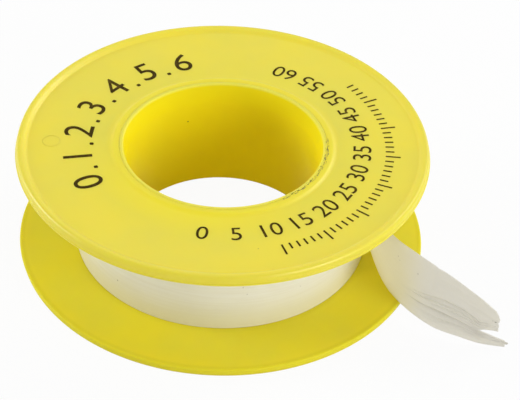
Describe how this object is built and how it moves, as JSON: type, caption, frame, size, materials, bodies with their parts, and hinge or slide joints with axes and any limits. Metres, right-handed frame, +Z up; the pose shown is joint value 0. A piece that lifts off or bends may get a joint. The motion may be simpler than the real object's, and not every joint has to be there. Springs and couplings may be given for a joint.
{
  "type": "thread seal tape roll",
  "caption": "Film tape wound on a flanged snap-together plastic spool with an open bore, its free end gathered and torn, for sealing pipe threads.",
  "frame": {"origin": "middle of the bore, on its axis, halfway between the two flanges", "axes": "+Z up along the bore's axis towards the upper flange, with the spool lying on its lower flange; +X towards the side where the free end of the tape leaves the roll"},
  "size_m": [0.06, 0.05, 0.0154],
  "materials": {
    "spool_plastic": "moulded, satin gloss, slightly translucent",
    "tape_film": "waxy white film"
  },
  "bodies": {
    "spool": {"spool_lower_half": "spool_plastic", "spool_upper_half": "spool_plastic", "tape_roll": "tape_film"},
    "tape_end": {"tape_last_turn": "tape_film", "tape_tail": "tape_film"}
  },
  "joints": [
    {"name": "unwind", "type": "hinge", "parent": "spool", "child": "tape_end", "pos_m": [0, 0, 0], "axis": [0, 0, 1], "continuous": true}
  ]
}
